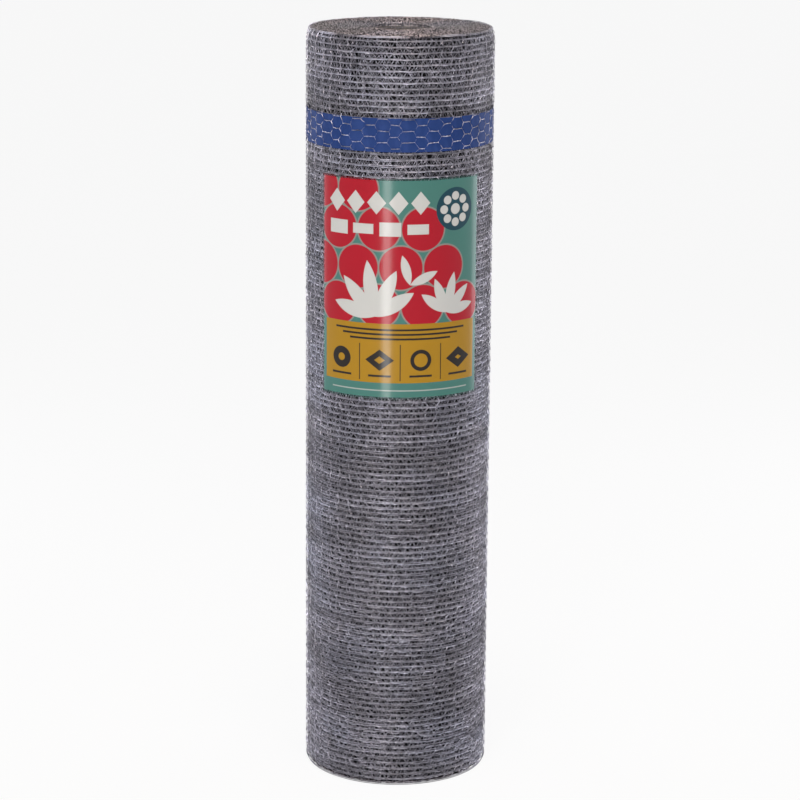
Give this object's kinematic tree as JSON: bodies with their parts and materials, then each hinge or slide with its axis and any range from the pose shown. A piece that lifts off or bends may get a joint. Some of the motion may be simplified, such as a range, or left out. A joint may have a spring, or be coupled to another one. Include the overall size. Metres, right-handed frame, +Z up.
{
  "type": "roll of chicken wire",
  "caption": "Standing roll of fine galvanised hexagonal wire netting with an open bore, a ribbon under its last turn and a label round its front.",
  "frame": {"origin": "on the axis of the roll, level with its lower end, which stands on the floor", "axes": "+Z up along the axis of the roll and its bore; the label faces -Y; +X to the right seen from the front"},
  "size_m": [0.2468, 0.2472, 1],
  "materials": {
    "galvanised_wire": "galvanised wire, dull grey with small bright glints",
    "ribbon": "thin royal blue plastic ribbon",
    "label_print": "printed sheet under a glossy laminate"
  },
  "bodies": {
    "root": {"netting_roll": "galvanised_wire", "blue_band": "ribbon", "label": "label_print"}
  },
  "joints": []
}
